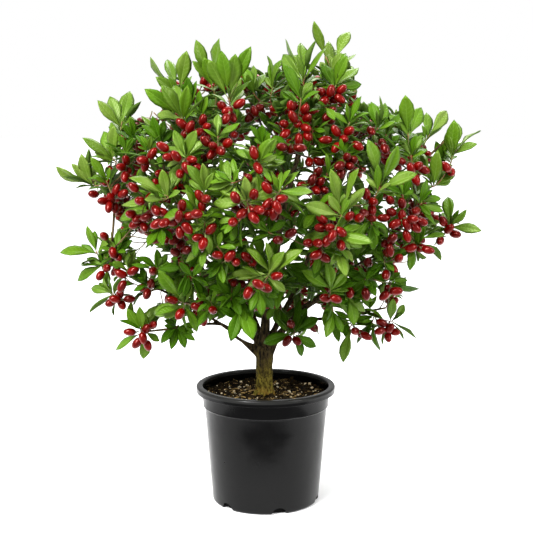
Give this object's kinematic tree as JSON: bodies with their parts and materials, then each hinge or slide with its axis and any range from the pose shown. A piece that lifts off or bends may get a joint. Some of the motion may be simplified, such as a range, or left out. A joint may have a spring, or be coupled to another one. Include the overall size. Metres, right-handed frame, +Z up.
{
  "type": "potted miracle fruit shrub",
  "caption": "Small evergreen shrub with a short forked trunk, rosettes of leaves and red berries, growing in a round black nursery pot of potting soil.",
  "frame": {"origin": "centre of the pot's flat underside, on the surface that it stands on", "axes": "+Z up along the pot's axis, -Y the front that the picture shows, +X to the right in that view"},
  "size_m": [0.7592, 0.7009, 0.8643],
  "materials": {
    "black_plastic": "satin moulded black plastic",
    "potting_soil": "rough, loose, moist",
    "bark": "rough furrowed bark",
    "foliage": "glossy leaves"
  },
  "bodies": {
    "root": {"pot": "black_plastic", "soil": "potting_soil", "trunk": "bark", "bough_top_peak": "bark", "bough_top_left": "bark", "bough_right_upper": "bark", "bough_low_left": "bark", "bough_back_left_upper": "bark", "bough_back_right_upper": "bark", "bough_top_centre": "bark", "bough_top_back": "bark", "bough_top_front": "bark", "bough_front_centre": "bark", "bough_front_low": "bark", "bough_front_right": "bark", "bough_right_far": "bark", "bough_right_mid": "bark", "bough_right_back": "bark", "bough_inner_right": "bark", "bough_low_right": "bark", "bough_low_centre": "bark", "bough_left_upper": "bark", "bough_left_far": "bark", "bough_front_left": "bark", "bough_inner_left": "bark", "bough_left_low": "bark", "bough_left_back": "bark", "bough_back_centre": "bark", "bough_back_left": "bark", "bough_back_right": "bark", "bough_back_low": "bark", "foliage_top_peak": "foliage", "foliage_top_left": "foliage", "foliage_right_upper": "foliage", "foliage_low_left": "foliage", "foliage_back_left_upper": "foliage", "foliage_back_right_upper": "foliage", "foliage_top_centre": "foliage", "foliage_top_back": "foliage", "foliage_top_front": "foliage", "foliage_front_centre": "foliage", "foliage_front_low": "foliage", "foliage_front_right": "foliage", "foliage_right_far": "foliage", "foliage_right_mid": "foliage", "foliage_right_back": "foliage", "foliage_inner_right": "foliage", "foliage_low_right": "foliage", "foliage_low_centre": "foliage", "foliage_left_upper": "foliage", "foliage_left_far": "foliage", "foliage_front_left": "foliage", "foliage_inner_left": "foliage", "foliage_left_low": "foliage", "foliage_left_back": "foliage", "foliage_back_centre": "foliage", "foliage_back_left": "foliage", "foliage_back_right": "foliage", "foliage_back_low": "foliage"}
  },
  "joints": []
}
